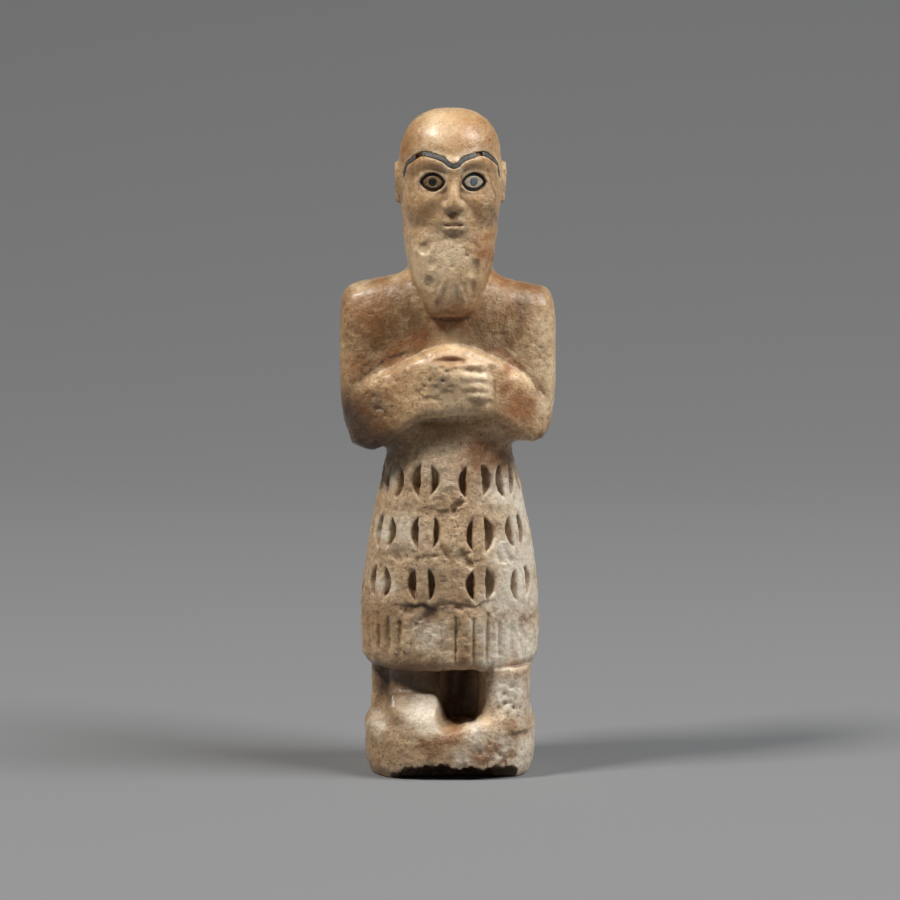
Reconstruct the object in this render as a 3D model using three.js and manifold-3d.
// A standing worshipper carved from one block of alabaster, with clasped hands, a full beard and a
// tufted kilt, on a low plinth of the same stone. The brow and the eyes are inlaid.
// Millimetres, +Z up. The figure faces -Y, and the origin is at the middle of the plinth's underside.
import * as THREE from "three";
import { LoftGeometry } from "three/addons/geometries/LoftGeometry.js";
import { mergeVertices } from "three/addons/utils/BufferGeometryUtils.js";
import Module from "manifold-3d";

const wasm = await Module();
wasm.setup();

// The plinth and the figure on it
const PLINTH_HEIGHT = 20;
const PLINTH_WIDTH = 64;
const PLINTH_DEPTH = 60;
const BODY_HEIGHT = 230; // sole to crown
const SUPPORT_SETBACK = 2.4; // from the plinth's side to the block behind the feet

// The kilt's carving: rows of ovals, each of two slots with a bar between them, over a fringe
const TUFT_ROWS = 3;
const TUFT_COLUMNS = 10;
const TUFT_DEPTH = 5;
const TUFT_BAR_WIDTH = 4.2;
const TUFT_SLOT_WIDTH = 3.8;
const FRINGE_GROOVES = 34;
const FRINGE_GROOVE_WIDTH = 1.3;
const FRINGE_GROOVE_DEPTH = 0.9;

// The eye inlays: a round pupil in an almond of shell, bedded in bitumen between stone lids
const PUPIL_DIAMETER = 2.8;
const PUPIL_THICKNESS = 0.8;
const EYE_WIDTH = 7.6;
const SHELL_ROUND_PUPIL = 0.6; // at its narrowest, above and below
const SHELL_UNDER_PUPIL = 0.4;
const BITUMEN_ROUND_SHELL = 0.9;
const BITUMEN_UNDER_SHELL = 1.0;
const BITUMEN_SETBACK = 0.25; // its face behind the shell's
const LID_WIDTH = 1.1;
const LID_RISE = 0.3; // in front of the shell

// The brow inlay
const BROW_BAND_WIDTH = 1.9;
const BROW_INLAY_DEPTH = 1.3;
const BROW_BREAK_WIDTH = 2.6;

const INLAY_GAP = 0.3; // between an inlay and what it is set in

// The body's proportions are in hundredths of its height, counted up from the sole.
const PART = BODY_HEIGHT / 100;
const HEM = 8.8;
const RIGHT_FOOT_X = -6.1;
const LEFT_FOOT_X = 8.8;
const WAIST = 43.8;
const TUFT_ROW_LOWEST = 23.2;
const TUFT_ROW_STEP = 8.4;
const TUFT_HALF_HEIGHT = 2.75;
const FRINGE_LOW = 9.7;
const FRINGE_HIGH = 18.2;
const HEAD_CENTRE_Y = -1.4;
const HEAD_WIDEST = 8.35; // half its width
const HEAD_TURN = THREE.MathUtils.degToRad(3);
const EYE_LEVEL = 88.6;
const EYE_SPREAD = 3.35; // from the face's middle line to an eye's centre
const EYE_YAW = THREE.MathUtils.degToRad(19);
const BROW_LEVEL = 92.2;
const BROW_END = 66; // degrees round the head from its front
const BROW_STEP = 6;
const BROW_BREAKS = [-38, 28]; // where the inlay is lost, in the same degrees
// Rows of [degrees round the head, rise above the brow's level]
const BROW_ROWS = [
  [-72, -4.2],
  [-54, -0.9],
  [-30, 0.9],
  [-12, 0.2],
  [0, -1.0],
  [12, 0.2],
  [30, 0.9],
  [54, -0.9],
  [72, -4.2],
];

// Rows of [height, half width, front depth, back depth]
const KILT_ROWS = [
  [HEM, 13.3, 11.0, 10.4],
  [HEM + 0.7, 14.3, 11.9, 11.3],
  [19.2, 14.45, 11.9, 11.3],
  [27.4, 13.6, 11.3, 10.7],
  [35.8, 12.1, 9.7, 9.3],
  [WAIST, 10.2, 7.9, 7.8],
  [48.5, 9.2, 6.2, 6.4],
];
const HEAD_ROWS = [
  [73.0, 5.4, 6.0, 5.4],
  [77.2, 6.8, 8.5, 6.6],
  [80.7, 7.55, 9.1, 7.7],
  [84.2, 8.1, 9.3, 8.8],
  [88.6, HEAD_WIDEST, 9.3, 9.5],
  [93.0, 8.2, 9.0, 9.5],
  [95.5, 7.6, 8.3, 8.9],
  [97.4, 6.5, 7.0, 7.6],
  [98.8, 4.9, 5.2, 5.7],
  [99.7, 2.8, 3.0, 3.3],
  [100, 1.2, 1.2, 1.4],
];
const BEARD_ROWS = [
  [66.6, 3.3, 9.6, 5.0],
  [67.3, 4.2, 10.5, 4.0],
  [70.2, 5.4, 11.0, 3.0],
  [73.7, 6.6, 11.4, 2.0],
  [77.2, 7.0, 11.4, 1.0],
  [79.8, 6.7, 10.9, 0.0],
  [81.6, 5.4, 9.9, 0.0],
];
const NECK_ROWS = [
  [70.0, 8.4, 6.4, 6.6],
  [73.5, 6.6, 5.6, 6.1],
  [77.0, 6.1, 5.4, 5.9],
  [82.0, 5.6, 5.0, 5.5],
];
// Rows of [side, lowest, highest, front depth, back depth] from the right elbow to the left
const SHOULDER_ROWS = [
  [-18.0, 54.8, 65.8, 3.0, 3.0],
  [-17.6, 50.6, 68.9, 4.6, 4.6],
  [-16.9, 47.5, 70.4, 5.5, 5.5],
  [-15.8, 45.7, 71.2, 6.0, 6.0],
  [-13.2, 44.6, 71.9, 6.5, 6.5],
  [-10.5, 44.8, 72.4, 6.8, 6.8],
  [-5.3, 42.1, 73.4, 7.3, 7.3],
  [0, 41.2, 73.8, 7.5, 7.5],
  [5.3, 42.1, 73.0, 7.3, 7.3],
  [10.5, 45.6, 71.7, 6.8, 6.8],
  [13.2, 45.6, 71.2, 6.5, 6.5],
  [15.4, 46.7, 70.6, 6.0, 6.0],
  [16.3, 48.3, 69.8, 5.5, 5.5],
  [16.9, 51.4, 68.2, 4.6, 4.6],
  [17.3, 55.4, 65.6, 3.0, 3.0],
];
const FOREARM_ROWS = [
  [-17.0, 48.8, 53.6, 4.4, 1.5],
  [-15.8, 46.0, 55.0, 6.8, 0.5],
  [-13.2, 45.2, 56.7, 8.4, -0.8],
  [-10.4, 46.2, 58.2, 9.7, -2.0],
  [-7.0, 49.3, 59.7, 10.8, -3.4],
  [-4.6, 50.7, 60.7, 11.3, -4.2],
  [-2.2, 51.2, 61.5, 11.6, -4.5],
  [1.1, 51.5, 61.9, 11.7, -4.6],
  [4.0, 51.7, 61.4, 11.4, -4.4],
  [6.6, 51.3, 60.3, 10.8, -4.0],
  [10.4, 48.4, 58.6, 9.6, -2.4],
  [13.2, 46.5, 55.9, 8.2, -1.0],
  [15.0, 46.7, 53.6, 6.7, 0.5],
  [16.4, 49.4, 52.6, 4.6, 1.5],
];
// The fingers' [height, radius]: the right hand's four over the left's last
const FINGER_ROWS = [
  [58.4, 0.85],
  [56.5, 1.15],
  [54.8, 0.75],
  [53.6, 0.65],
  [52.4, 0.8],
];

const up = (share) => PLINTH_HEIGHT + share * PART;
const point = (x, y, h) => new THREE.Vector3(x * PART, y * PART, up(h));

// A run through rows that start with their station, smooth or straight between them
function profile(rows, Interpolant = THREE.CubicInterpolant) {
  const size = rows[0].length - 1;
  const stations = rows.map((row) => row[0]);
  const values = rows.flatMap((row) => row.slice(1));
  const run = new Interpolant(stations, values, size, new Float32Array(size));
  return (station) => [...run.evaluate(station)];
}

// A coordinate of a circle bent to a rounded square: round at power 2, square at a high power
const bend = (v, power) => Math.sign(v) * Math.abs(v) ** (2 / power);

function roundedSection(count, power) {
  return Array.from({ length: count }, (_, i) => {
    const angle = (i / count) * 2 * Math.PI;
    return [bend(Math.cos(angle), power), bend(Math.sin(angle), power)];
  });
}

const capped = { capStart: true, capEnd: true };

// An upright form whose sections are level, from rows of [height, half width, front, back].
function uprightForm(rows, { sides, power = 2, centre = [0, 0] }) {
  const corners = roundedSection(sides, power);
  const sections = rows.map(([height, half, front, back]) =>
    corners.map(([u, v]) => point(centre[0] + u * half, centre[1] + v * (v < 0 ? front : back), height)),
  );
  return new LoftGeometry(sections, capped);
}

// A form that runs from side to side, from rows of [side, lowest, highest, front, back].
function crossingForm(rows, { sides, power }) {
  const corners = roundedSection(sides, power);
  const sections = rows.map(([x, low, high, front, back]) => {
    const halfRise = (high - low) / 2;
    const halfDepth = (front + back) / 2;
    return corners.map(([u, v]) => point(x, u * halfDepth + back - halfDepth, low + halfRise + v * halfRise));
  });
  return new LoftGeometry(sections, capped);
}

// The place on an upright form at an angle round it, 0 at the front, and its level outward direction there
function placeOn(rows, { power, centreY = 0 }, angle, height) {
  const [half, front, back] = profile(rows, THREE.LinearInterpolant)(height);
  const depth = Math.cos(angle) > 0 ? front : back;
  const across = bend(Math.sin(angle), power);
  const ahead = bend(Math.cos(angle), power);
  const slope = (share) => Math.sign(share) * Math.abs(share) ** (power - 1);
  return {
    middle: point(half * across, centreY - depth * ahead, height),
    outward: new THREE.Vector3(slope(across) / half, -slope(ahead) / depth, 0).normalize(),
  };
}

// A limb along a curve: rows of [x, y, height, radius up and down, radius in depth].
function limb(rows, { sides, steps, blunt = 0 }) {
  const path = new THREE.CatmullRomCurve3(rows.map(([x, y, h]) => point(x, y, h)));
  const radii = profile(rows.map((row, i) => [i / (rows.length - 1), row[3], row[4]]));
  const corners = roundedSection(sides, 2.3);
  const upward = new THREE.Vector3(0, 0, 1);
  const sections = Array.from({ length: steps + 1 }, (_, i) => {
    const t = i / steps;
    const along = path.getTangent(t);
    const side = new THREE.Vector3().crossVectors(upward, along).normalize();
    const top = new THREE.Vector3().crossVectors(along, side);
    const fromEnd = Math.min(t, 1 - t);
    const taper = blunt && fromEnd < blunt ? Math.sqrt(1 - (1 - fromEnd / blunt) ** 2 * 0.9) : 1;
    const [rise, depth] = radii(t);
    return corners.map(([u, v]) =>
      path
        .getPoint(t)
        .addScaledVector(side, u * depth * PART * taper)
        .addScaledVector(top, v * rise * PART * taper),
    );
  });
  return new LoftGeometry(sections, capped);
}

// An ellipsoid with its centre and half sizes in the body's parts.
function ellipsoid(centre, halves, across = 8, down = 6) {
  const ball = new THREE.SphereGeometry(1, across, down);
  ball.rotateX(Math.PI / 2);
  ball.scale(...halves.map((half) => half * PART));
  const middle = point(...centre);
  return ball.translate(middle.x, middle.y, middle.z);
}

// A closed three.js geometry as a solid that can be joined and cut.
function solid(geometry, matrix = new THREE.Matrix4()) {
  const bare = geometry.index ? geometry.toNonIndexed() : geometry.clone();
  bare.deleteAttribute("normal");
  bare.deleteAttribute("uv");
  const merged = mergeVertices(bare.applyMatrix4(matrix), 1e-4);
  return new wasm.Manifold(
    new wasm.Mesh({
      numProp: 3,
      vertProperties: merged.attributes.position.array,
      triVerts: new Uint32Array(merged.index.array),
    }),
  );
}

const joined = (geometries) => wasm.Manifold.union(geometries.map((geometry) => solid(geometry)));

function geometryOf(body) {
  const { vertProperties, triVerts } = body.getMesh();
  const geometry = new THREE.BufferGeometry();
  geometry.setAttribute("position", new THREE.Float32BufferAttribute(vertProperties, 3));
  geometry.setIndex([...triVerts]);
  geometry.computeVertexNormals();
  return geometry;
}

const KILT_SECTION = { sides: 40, power: 2.15 };

// A tool whose own -Y points out of the kilt, moved to its place there.
function toKilt(angle, height) {
  const { middle, outward } = placeOn(KILT_ROWS, KILT_SECTION, angle, height);
  return new THREE.Matrix4().makeRotationZ(Math.atan2(outward.x, -outward.y)).setPosition(middle);
}

// One half of a tuft's oval: straight against the bar, bowed outwards, with pointed ends.
function tuftCutter(side) {
  const rise = TUFT_HALF_HEIGHT * PART;
  const steps = 4;
  const outline = new THREE.Shape(
    Array.from({ length: steps + 1 }, (_, i) => {
      const along = 1 - (2 * i) / steps;
      const out = TUFT_BAR_WIDTH / 2 + TUFT_SLOT_WIDTH * (1 - along ** 2);
      return new THREE.Vector2(side * out, along * rise);
    }),
  );
  const cutter = new THREE.ExtrudeGeometry(outline, { depth: 2 * TUFT_DEPTH, bevelEnabled: false });
  return cutter.translate(0, 0, -TUFT_DEPTH).rotateX(Math.PI / 2);
}

function tuftCutters() {
  const halves = [-1, 1].map(tuftCutter);
  const cutters = [];
  for (let row = 0; row < TUFT_ROWS; row++) {
    const height = TUFT_ROW_LOWEST + row * TUFT_ROW_STEP;
    for (let column = 0; column < TUFT_COLUMNS; column++) {
      const angle = ((column + 0.5) / TUFT_COLUMNS) * 2 * Math.PI;
      const placed = toKilt(angle, height);
      cutters.push(...halves.map((half) => solid(half, placed)));
    }
  }
  return cutters;
}

function fringeCutters() {
  const length = (FRINGE_HIGH - FRINGE_LOW) * PART;
  const notch = new THREE.Shape()
    .moveTo(0, -FRINGE_GROOVE_DEPTH)
    .lineTo(FRINGE_GROOVE_WIDTH, FRINGE_GROOVE_DEPTH)
    .lineTo(-FRINGE_GROOVE_WIDTH, FRINGE_GROOVE_DEPTH);
  const wedge = new THREE.ExtrudeGeometry(notch, { depth: length, bevelEnabled: false });
  wedge.translate(0, 0, -length / 2).rotateZ(Math.PI);
  return Array.from({ length: FRINGE_GROOVES }, (_, i) => {
    const angle = ((i + 0.5) / FRINGE_GROOVES) * 2 * Math.PI;
    return solid(wedge, toKilt(angle, (FRINGE_HIGH + FRINGE_LOW) / 2));
  });
}

// The plinth, the block behind the legs, and the feet in front of it
function standing() {
  const wide = PLINTH_WIDTH / 2 / PART;
  const deep = PLINTH_DEPTH / 2 / PART;
  const underside = -PLINTH_HEIGHT / PART;
  const plinth = uprightForm(
    [
      [underside, wide - 0.9, deep - 0.8, deep - 0.8],
      [underside * 0.75, wide - 0.2, deep - 0.2, deep - 0.2],
      [underside * 0.3, wide, deep, deep],
      [-0.8, wide - 0.3, deep - 0.6, deep - 0.3],
      [0.1, wide - 1.4, deep - 1.9, deep - 1.4],
    ],
    { sides: 32, power: 3 },
  );
  const narrow = wide - SUPPORT_SETBACK / PART;
  const support = uprightForm(
    [
      [-1, narrow + 0.5, 2.6, 10.6],
      [2.6, narrow, 2.6, 9.9],
      [HEM + 0.5, narrow, 2.6, 9.4],
    ],
    { sides: 24, power: 3.4 },
  );
  const leg = (x, front) =>
    uprightForm(
      [
        [-1, 4.5, front + 0.6, 3],
        [2.6, 4.2, front, 3],
        [HEM + 0.5, 4.4, front - 0.4, 3],
      ],
      { sides: 16, power: 2.7, centre: [x, 0] },
    );
  const foot = (x, rise) =>
    uprightForm(
      [
        [-1, 4.6, 11.8, 2],
        [rise * 0.4, 4.5, 11.4, 2],
        [rise * 0.75, 4.3, 9.8, 2],
        [rise, 3.9, 7.2, 2],
      ],
      { sides: 16, power: 3.2, centre: [x, 0] },
    );
  const hollow = uprightForm(
    [
      [0.2, 0.8, 16, -1.4],
      [1.5, 1.7, 16, -1.2],
      [3.2, 2.5, 16, -1.0],
      [HEM - 1, 3.0, 16, -0.4],
    ],
    { sides: 12, power: 2.6, centre: [(RIGHT_FOOT_X + LEFT_FOOT_X) / 2, 0] },
  );
  const forms = [
    plinth,
    support,
    leg(RIGHT_FOOT_X, 6.2),
    leg(LEFT_FOOT_X, 8.6),
    foot(RIGHT_FOOT_X, 4.2),
    foot(LEFT_FOOT_X, 1.8),
  ];
  return joined(forms).subtract(solid(hollow));
}

// Flakes broken off the plinth's lower front edge, each a scoop with its middle on that edge and its
// place and size as shares of the plinth's
function plinthFlakes() {
  const flakes = [
    { x: -0.15, wide: 0.19, high: 0.28, run: 0.15 },
    { x: 0.12, wide: 0.22, high: 0.23, run: 0.18 },
    { x: 0.32, wide: 0.16, high: 0.25, run: 0.15 },
    { x: 0.48, wide: 0.06, high: 0.18, run: 0.22 },
  ];
  return flakes.map(({ x, wide, high, run }) => {
    const scoop = new THREE.SphereGeometry(1, 12, 6).rotateX(Math.PI / 2);
    scoop.scale(wide * PLINTH_WIDTH, run * PLINTH_DEPTH, high * PLINTH_HEIGHT);
    return solid(scoop.translate(x * PLINTH_WIDTH, -PLINTH_DEPTH / 2, 0));
  });
}

// The right hand's fingers on the left hand, and the thumb above a hollow
function hands() {
  const fingers = FINGER_ROWS.map(([height, radius]) =>
    limb(
      [
        [0.6, -10.6, height, radius, 1.5],
        [3.4, -11.0, height, radius, 1.5],
        [6.3, -9.9, height - 0.1, radius * 0.9, 1.3],
      ],
      { sides: 8, steps: 4, blunt: 0.25 },
    ),
  );
  const thumb = limb(
    [
      [-4.4, -9.8, 60.0, 0.7, 1.6],
      [0.3, -10.4, 61.2, 0.8, 1.7],
      [5.2, -9.7, 60.1, 0.7, 1.6],
    ],
    { sides: 8, steps: 6, blunt: 0.2 },
  );
  return [...fingers, thumb];
}

const thumbHollow = () => ellipsoid([-0.4, -12.0, 59.7], [2.8, 1.6, 0.65], 12, 6);

// The crease between the chest and the left arm
const armCrease = () => ellipsoid([11.7, -7.0, 67.0], [0.5, 0.8, 2.8]);

// Flakes lost above the fringe, at the right of its middle
function fringeFlakes() {
  return [
    [-0.3, 18.6, [1.5, 0.6, 0.9]],
    [-0.13, 16.6, [0.9, 0.45, 1.5]],
  ].map(([angle, height, halves]) => {
    const scoop = ellipsoid([0, 0, 0], halves).translate(0, 0, -PLINTH_HEIGHT);
    return solid(scoop, toKilt(angle, height));
  });
}

// The head, on its own frame so that it can be turned on the neck
const headFrame = new THREE.Matrix4().makeRotationZ(HEAD_TURN);

const HEAD_SECTION = { sides: 28, power: 2.2, centre: [0, HEAD_CENTRE_Y], centreY: HEAD_CENTRE_Y };
const skull = () => uprightForm(HEAD_ROWS, HEAD_SECTION);

function ear(side) {
  const shape = ellipsoid([0, 0, 0], [0.9, 1.6, 3.7], 10, 6).translate(0, 0, -PLINTH_HEIGHT);
  const middle = point(side * 8.6, -0.6, 88.0);
  return shape.rotateX(-0.12).translate(middle.x, middle.y, middle.z);
}

const earHollow = (side) => ellipsoid([side * 9.6, -1.0, 88.4], [0.7, 0.85, 2.3]);

// A straight nose on an even face: a ridge that widens down to the nostrils
function nose() {
  return uprightForm(
    [
      [82.9, 0.9, 9.4, 0],
      [83.4, 1.75, 10.6, 0],
      [84.4, 1.8, 11.5, 0],
      [86.0, 1.25, 11.2, 0],
      [88.6, 0.95, 10.0, 0],
      [91.6, 1.3, 9.2, 0],
    ],
    { sides: 10, centre: [0, HEAD_CENTRE_Y] },
  );
}

function lips() {
  const rows = (height, radius) => [
    [-2.1, HEAD_CENTRE_Y - 8.4, height, 0.25, 0.6],
    [0, HEAD_CENTRE_Y - 9.3, height, radius, 0.8],
    [2.1, HEAD_CENTRE_Y - 8.4, height, 0.25, 0.6],
  ];
  return [limb(rows(82.15, 0.42), { sides: 6, steps: 4 }), limb(rows(81.2, 0.5), { sides: 6, steps: 4 })];
}

function mouthCutter() {
  return ellipsoid([0, HEAD_CENTRE_Y - 9.9, 81.7], [2.2, 1.0, 0.14], 10, 4);
}

function beard() {
  return uprightForm(BEARD_ROWS, { sides: 22, power: 2.7 });
}

// The gouges that stand for the beard's curls, and the flutes at its tip
function beardCutters() {
  const cutters = [];
  for (const [height, halfHeight, places] of [
    [77.0, 0.9, [-5.0, -0.2, 4.6]],
    [73.6, 1.0, [-4.4, 4.2]],
  ]) {
    for (const x of places) {
      cutters.push(ellipsoid([x, -11.9 + 0.055 * x * x, height], [0.8, 0.75, halfHeight], 8, 6));
    }
  }
  for (const x of [-2.5, 0, 2.5]) {
    cutters.push(ellipsoid([x, -12.0 + 0.06 * x * x, 70.6], [0.62, 1.0, 3.0], 6, 6));
  }
  return cutters;
}

// An almond outline of a full width and height
function almond(width, height) {
  const half = width / 2;
  const rise = height / 2;
  const outline = new THREE.Shape().moveTo(-half, 0);
  outline.bezierCurveTo(-half * 0.55, rise * 1.33, half * 0.55, rise * 1.33, half, 0);
  outline.bezierCurveTo(half * 0.55, -rise * 1.33, -half * 0.55, -rise * 1.33, -half, 0);
  return outline;
}

// A plate of an outline, from one depth to another, measured outwards from the eye's front face.
function plate(outline, from, to) {
  const options = { depth: to - from, bevelEnabled: false, curveSegments: 6 };
  return new THREE.ExtrudeGeometry(outline, options).translate(0, 0, from).rotateX(Math.PI / 2);
}

function disc(diameter, from, to) {
  const round = new THREE.CylinderGeometry(diameter / 2, diameter / 2, to - from, 14);
  return round.translate(0, -(from + to) / 2, 0);
}

// An eye's own frame: its origin is on the face at the eye's centre, and -Y points outwards.
function eyeFrame(side) {
  const [half, front] = profile(HEAD_ROWS)(EYE_LEVEL);
  const reach = Math.sqrt(1 - (EYE_SPREAD / half) ** 2);
  const middle = point(side * EYE_SPREAD, HEAD_CENTRE_Y - front * reach, EYE_LEVEL);
  return new THREE.Matrix4().makeRotationZ(side * EYE_YAW).setPosition(middle).premultiply(headFrame);
}

const EYE_HEIGHT = PUPIL_DIAMETER + 2 * (INLAY_GAP + SHELL_ROUND_PUPIL);
const BED_WIDTH = EYE_WIDTH + 2 * (INLAY_GAP + BITUMEN_ROUND_SHELL);
const BED_HEIGHT = EYE_HEIGHT + 2 * (INLAY_GAP + BITUMEN_ROUND_SHELL);
const SHELL_BACK = -(PUPIL_THICKNESS + INLAY_GAP + SHELL_UNDER_PUPIL);
const BED_BACK = SHELL_BACK - INLAY_GAP - BITUMEN_UNDER_SHELL;
const OPEN_AIR = BODY_HEIGHT; // further than anything that a cutter has to clear

function socketCutter(side) {
  const outline = almond(BED_WIDTH + 2 * INLAY_GAP, BED_HEIGHT + 2 * INLAY_GAP);
  return solid(plate(outline, BED_BACK - INLAY_GAP, OPEN_AIR), eyeFrame(side));
}

// The stone rim that stands round the socket
function eyelids(side) {
  const margin = 2 * (INLAY_GAP + LID_WIDTH);
  const outline = almond(BED_WIDTH + margin, BED_HEIGHT + margin);
  return solid(plate(outline, BED_BACK, LID_RISE), eyeFrame(side));
}

function eyeBed() {
  const bed = solid(plate(almond(BED_WIDTH, BED_HEIGHT), BED_BACK, -BITUMEN_SETBACK));
  const pocket = almond(EYE_WIDTH + 2 * INLAY_GAP, EYE_HEIGHT + 2 * INLAY_GAP);
  return bed.subtract(solid(plate(pocket, SHELL_BACK - INLAY_GAP, OPEN_AIR)));
}

function eyeShell() {
  const shell = solid(plate(almond(EYE_WIDTH, EYE_HEIGHT), SHELL_BACK, 0));
  const pocketBack = -(PUPIL_THICKNESS + INLAY_GAP);
  return shell.subtract(solid(disc(PUPIL_DIAMETER + 2 * INLAY_GAP, pocketBack, OPEN_AIR)));
}

const pupil = () => solid(disc(PUPIL_DIAMETER, -PUPIL_THICKNESS, 0));

// A length of the brow's band, laid on the head from one angle to another and sunk to a depth
function browBand(from, to, width, depth) {
  const rise = profile(BROW_ROWS);
  const place = (degrees) =>
    placeOn(HEAD_ROWS, HEAD_SECTION, THREE.MathUtils.degToRad(degrees), BROW_LEVEL + rise(degrees)[0]);
  const between = [];
  for (let degrees = -BROW_END; degrees < BROW_END; degrees += BROW_STEP) {
    if (degrees > from + 1 && degrees < to - 1) {
      between.push(degrees);
    }
  }
  const sections = [from, ...between, to].map((degrees) => {
    const { middle, outward } = place(degrees);
    const along = place(degrees + 1).middle.sub(place(degrees - 1).middle);
    const across = new THREE.Vector3().crossVectors(outward, along).setLength(width / 2);
    const corner = (side, out) => middle.clone().addScaledVector(across, side).addScaledVector(outward, out);
    return [corner(1, -depth), corner(1, BROW_BAND_WIDTH), corner(-1, BROW_BAND_WIDTH), corner(-1, -depth)];
  });
  return solid(new LoftGeometry(sections, capped));
}

// A length along the brow as an angle round the head
const browAngle = (length) => THREE.MathUtils.radToDeg(length / (HEAD_WIDEST * PART));

function browGroove() {
  const end = BROW_END + browAngle(INLAY_GAP);
  const groove = browBand(-end, end, BROW_BAND_WIDTH + 2 * INLAY_GAP, BROW_INLAY_DEPTH + INLAY_GAP);
  return groove.transform([...headFrame.elements]);
}

// The inlay is lost at two places, so three lengths of it are left.
function browInlays() {
  const halfBreak = browAngle(BROW_BREAK_WIDTH / 2);
  const breaks = BROW_BREAKS.flatMap((middle) => [middle - halfBreak, middle + halfBreak]);
  const ends = [-BROW_END, ...breaks, BROW_END];
  const head = solid(skull());
  return [0, 2, 4].map((i) =>
    browBand(ends[i], ends[i + 1], BROW_BAND_WIDTH, BROW_INLAY_DEPTH).intersect(head),
  );
}

function figure() {
  const headForms = [skull(), ear(-1), ear(1), nose(), ...lips()];
  const head = joined(headForms).transform([...headFrame.elements]);
  const body = joined([
    uprightForm(KILT_ROWS, KILT_SECTION),
    crossingForm(SHOULDER_ROWS, { sides: 22, power: 3.2 }),
    crossingForm(FOREARM_ROWS, { sides: 18, power: 2.4 }),
    ...hands(),
    uprightForm(NECK_ROWS, { sides: 18 }),
    beard(),
  ]);
  const stone = wasm.Manifold.union([standing(), body, head, eyelids(-1), eyelids(1)]);
  const cutters = [
    ...tuftCutters(),
    ...fringeCutters(),
    ...fringeFlakes(),
    ...plinthFlakes(),
    ...[...beardCutters(), thumbHollow(), armCrease()].map((cutter) => solid(cutter)),
    ...[mouthCutter(), earHollow(-1), earHollow(1)].map((cutter) => solid(cutter, headFrame)),
    socketCutter(-1),
    socketCutter(1),
    browGroove(),
  ];
  return stone.subtract(wasm.Manifold.union(cutters));
}

const finishes = {
  alabaster: new THREE.MeshStandardMaterial({ color: 0xc2a582, roughness: 0.55, metalness: 0 }),
  bitumen: new THREE.MeshStandardMaterial({ color: 0x3a352f, roughness: 0.7, metalness: 0 }),
  shell: new THREE.MeshStandardMaterial({ color: 0xb79a74, roughness: 0.5, metalness: 0 }),
  darkStone: new THREE.MeshStandardMaterial({ color: 0x1b211f, roughness: 0.35, metalness: 0 }),
  greyStone: new THREE.MeshStandardMaterial({ color: 0x6f7884, roughness: 0.45, metalness: 0 }),
};

function named(name, body, finish) {
  const mesh = new THREE.Mesh(geometryOf(body), finish);
  mesh.name = name;
  return mesh;
}

// The figure's right is at -X, the viewer's left.
function eye(sideName, side, pupilFinish) {
  const group = new THREE.Group();
  group.applyMatrix4(eyeFrame(side));
  group.add(
    named(`eye_bed_${sideName}`, eyeBed(), finishes.bitumen),
    named(`eye_shell_${sideName}`, eyeShell(), finishes.shell),
    named(`pupil_${sideName}`, pupil(), pupilFinish),
  );
  return group;
}

function brow() {
  const group = new THREE.Group();
  group.applyMatrix4(headFrame);
  const names = ["brow_inlay_right", "brow_inlay_middle", "brow_inlay_left"];
  browInlays().forEach((inlay, i) => group.add(named(names[i], inlay, finishes.bitumen)));
  return group;
}

const worshipper = new THREE.Group();
worshipper.add(
  named("figure", figure(), finishes.alabaster),
  eye("right", -1, finishes.darkStone),
  eye("left", 1, finishes.greyStone),
  brow(),
);

export default worshipper;
